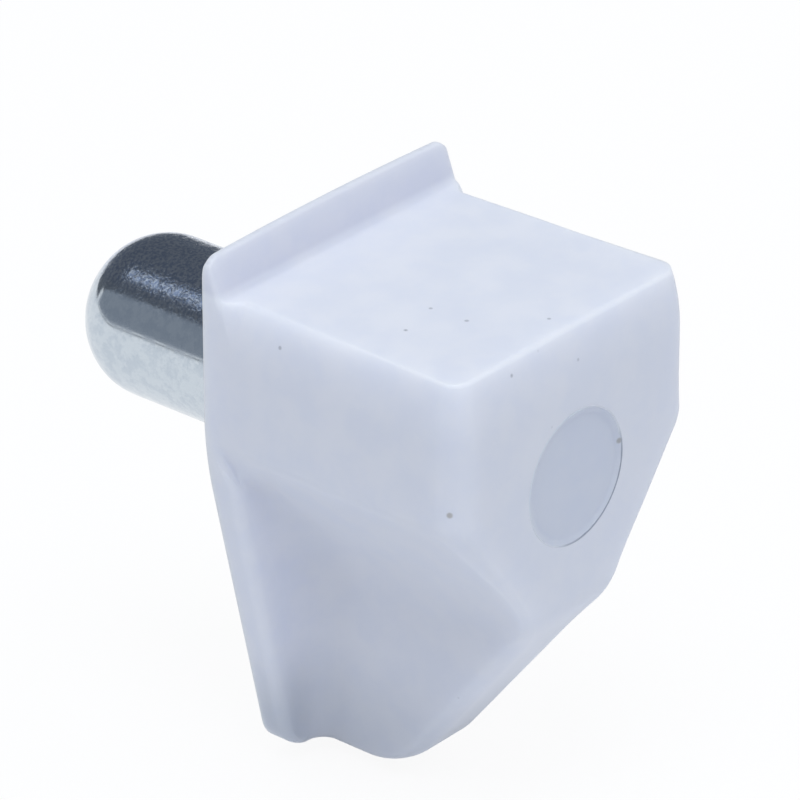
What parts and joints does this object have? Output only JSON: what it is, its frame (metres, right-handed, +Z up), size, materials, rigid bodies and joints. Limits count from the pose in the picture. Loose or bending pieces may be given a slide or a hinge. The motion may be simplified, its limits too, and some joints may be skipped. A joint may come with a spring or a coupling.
{
  "type": "shelf support pin",
  "caption": "Bracket-type shelf support: a plastic seat with rear lip, gusset rib and tapering back plate on a round-nosed steel pin.",
  "frame": {"origin": "on the pin's axis at the bracket's wall face", "axes": "+Y along the pin into the cabinet side, +Z up through the seat, +X along the shelf's end edge"},
  "size_m": [0.0104, 0.0178, 0.0171],
  "materials": {
    "plastic": "satin, milky and slightly translucent",
    "plated_steel": "bright zinc plate with a faint spangle"
  },
  "bodies": {
    "root": {"bracket_body": "plastic", "steel_pin": "plated_steel"}
  },
  "joints": []
}
